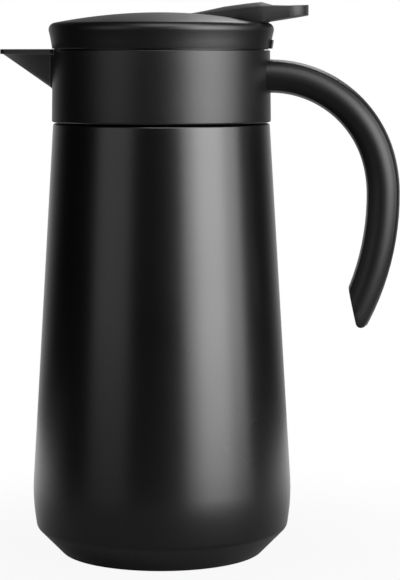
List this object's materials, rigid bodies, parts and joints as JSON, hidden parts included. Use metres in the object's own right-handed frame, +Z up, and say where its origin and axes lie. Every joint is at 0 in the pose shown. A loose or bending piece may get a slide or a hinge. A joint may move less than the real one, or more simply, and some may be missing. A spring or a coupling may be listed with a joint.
{
  "type": "vacuum carafe",
  "caption": "Double-walled steel vacuum carafe with a thumb-lever lid, a duckbill spout and an open cane handle.",
  "frame": {"origin": "centre of the foot ring, on the surface that the carafe stands on", "axes": "+Z up along the body's axis, +X towards the handle, the spout points along -X"},
  "size_m": [0.1831, 0.1194, 0.2533],
  "materials": {
    "body_coat": "black powder coat with a soft satin sheen and a very fine grain",
    "collar_plastic": "black moulded plastic, finely grained, matte",
    "lid_plastic": "black moulded plastic, finely grained, satin",
    "handle_plastic": "black moulded plastic with a soft satin sheen",
    "inner_plastic": "black food-grade plastic, smooth",
    "steel": "stainless steel, fine brushed",
    "silicone": "translucent grey silicone, matte",
    "getter_metal": "pressed metal, dull",
    "seal_disc": "flat metal disc, dull"
  },
  "bodies": {
    "root": {"outer_shell": "body_coat", "outer_base": "body_coat", "vacuum_seal": "seal_disc", "getter": "getter_metal", "inner_liner": "steel", "liner_base": "steel", "collar": "collar_plastic", "neck_ring": "inner_plastic", "neck_seal": "silicone", "handle": "handle_plastic", "handle_screws": "steel"},
    "gasket": {"stopper_gasket": "silicone"},
    "lid": {"lid_cap": "lid_plastic", "lid_screws": "steel", "stopper_body": "inner_plastic", "stopper_cover": "inner_plastic", "stem_seal": "silicone", "lever_pin": "steel"},
    "lever": {"thumb_lever": "lid_plastic", "link_pin": "steel"},
    "valve": {"valve_stem": "inner_plastic", "valve_seal": "silicone", "valve_spring": "steel"}
  },
  "joints": [
    {"name": "lid_lift", "type": "slide", "parent": "root", "child": "gasket", "axis": [0, 0, 1], "range_m": [0, 0.032]},
    {"name": "lid_turn", "type": "hinge", "parent": "gasket", "child": "lid", "pos_m": [0, 0, 0.2329], "axis": [0, 0, 1], "range_deg": [0, 360]},
    {"name": "lever_tilt", "type": "hinge", "parent": "lid", "child": "lever", "pos_m": [0.044, 0, 0.2415], "axis": [0, 1, 0], "range_deg": [0, 5.5], "stiffness_Nm_per_rad": 1.16, "springref_deg": -7.85},
    {"name": "valve_slide", "type": "slide", "parent": "lid", "child": "valve", "axis": [0, 0, 1], "range_m": [0, 0.00422], "deforming": ["valve_spring"]}
  ],
  "couplings": [
    {"joint": "lid_turn", "follows": "lid_lift", "rad_per_m": 196.35},
    {"joint": "valve_slide", "follows": "lever_tilt", "m_per_rad": 0.04393}
  ]
}
